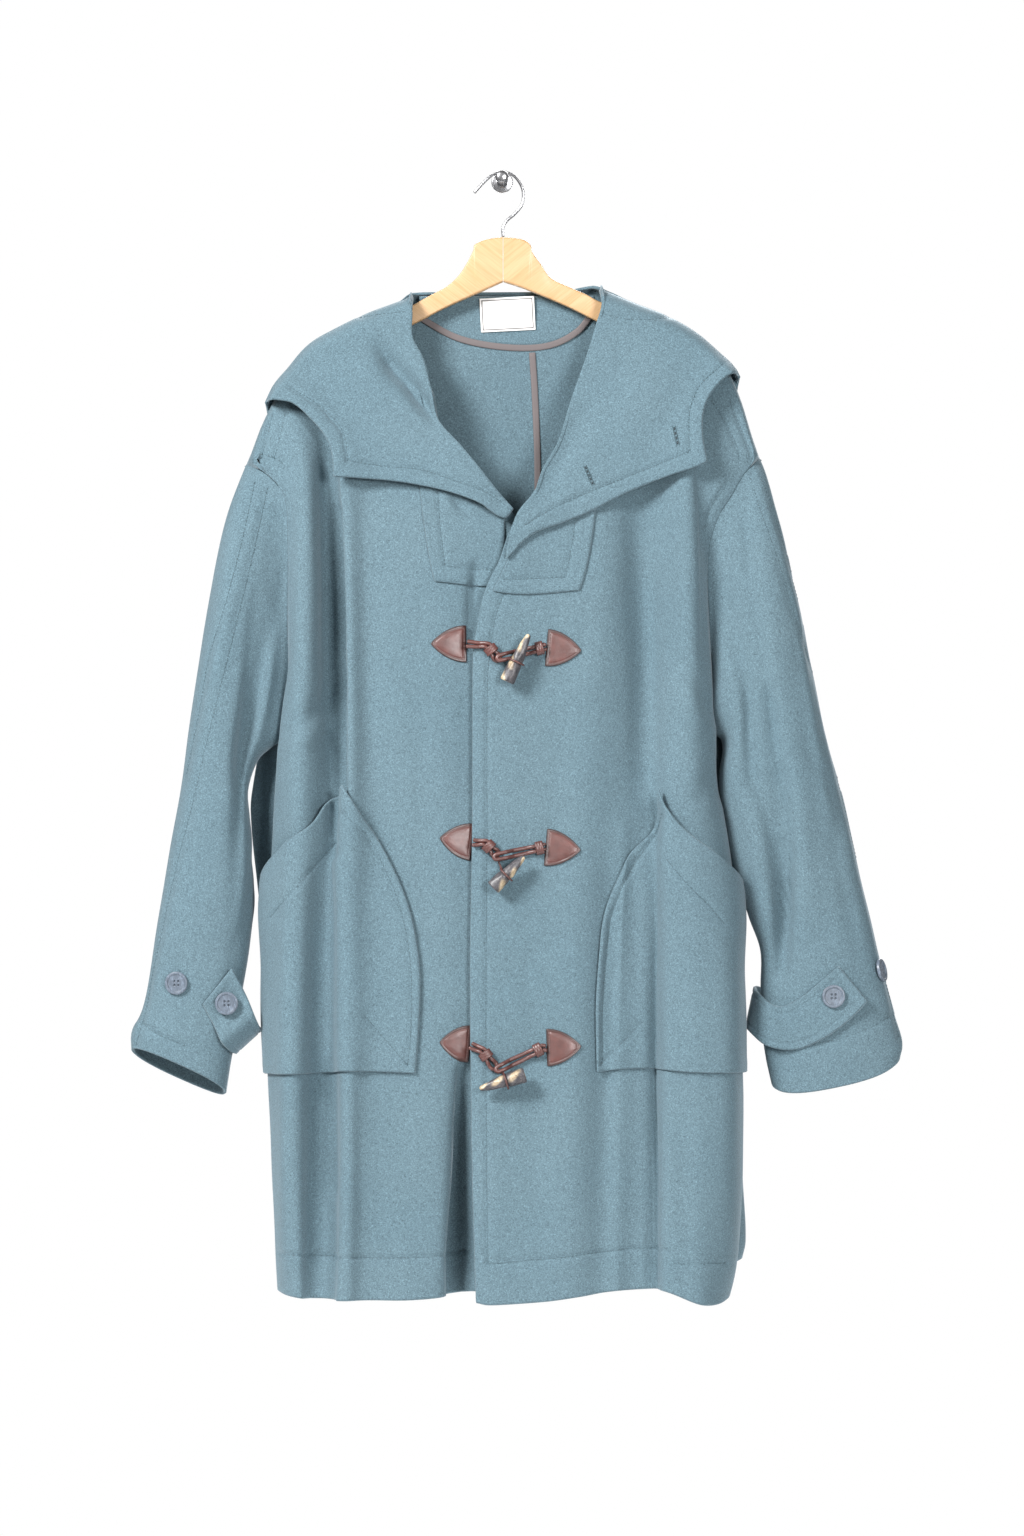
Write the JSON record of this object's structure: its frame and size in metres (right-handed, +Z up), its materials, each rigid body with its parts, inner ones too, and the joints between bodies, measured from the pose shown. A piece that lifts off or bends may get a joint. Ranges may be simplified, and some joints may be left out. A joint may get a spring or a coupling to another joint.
{
  "type": "duffle coat on hanger",
  "caption": "Hooded wool duffle coat with toggle fastenings, patch pockets and sleeve straps, hanging open at the neck on a wooden hanger from a wall hook.",
  "frame": {"origin": "centre of the wall hook's plate, on the wall plane", "axes": "+Z up, -Y out of the wall towards the viewer, +X to the viewer's right"},
  "size_m": [0.774, 0.1679, 1.14],
  "materials": {
    "wool": "matte",
    "tape": "satin",
    "label": "satin",
    "leather": "satin",
    "horn": "polished",
    "button": "satin",
    "pine": "satin",
    "steel": "brushed"
  },
  "bodies": {
    "root": {"front_left": "wool", "front_right": "wool", "back": "wool", "sleeve_left": "wool", "sleeve_right": "wool", "hood_front_left": "wool", "hood_front_right": "wool", "hood_stand": "wool", "hood_back": "wool", "pocket_left": "wool", "pocket_right": "wool", "chest_patch_left": "wool", "chest_patch_right": "wool", "patch_left_1": "leather", "patch_left_2": "leather", "patch_left_3": "leather", "patch_right_1": "leather", "patch_right_2": "leather", "patch_right_3": "leather", "cord_left_1": "leather", "cord_left_2": "leather", "cord_left_3": "leather", "cord_right_1": "leather", "cord_right_2": "leather", "cord_right_3": "leather", "wrap_left_1": "leather", "wrap_left_2": "leather", "wrap_left_3": "leather", "wrap_right_1": "leather", "wrap_right_2": "leather", "wrap_right_3": "leather", "tie_1": "leather", "tie_2": "leather", "tie_3": "leather", "toggle_1": "horn", "toggle_2": "horn", "toggle_3": "horn", "sleeve_strap_left": "wool", "sleeve_strap_right": "wool", "button_left_1": "button", "button_left_2": "button", "button_right_1": "button", "button_right_2": "button", "tape_neck": "tape", "tape_back": "tape", "label": "label", "hanger": "pine", "hanger_hook": "steel", "wall_hook": "steel"}
  },
  "joints": []
}
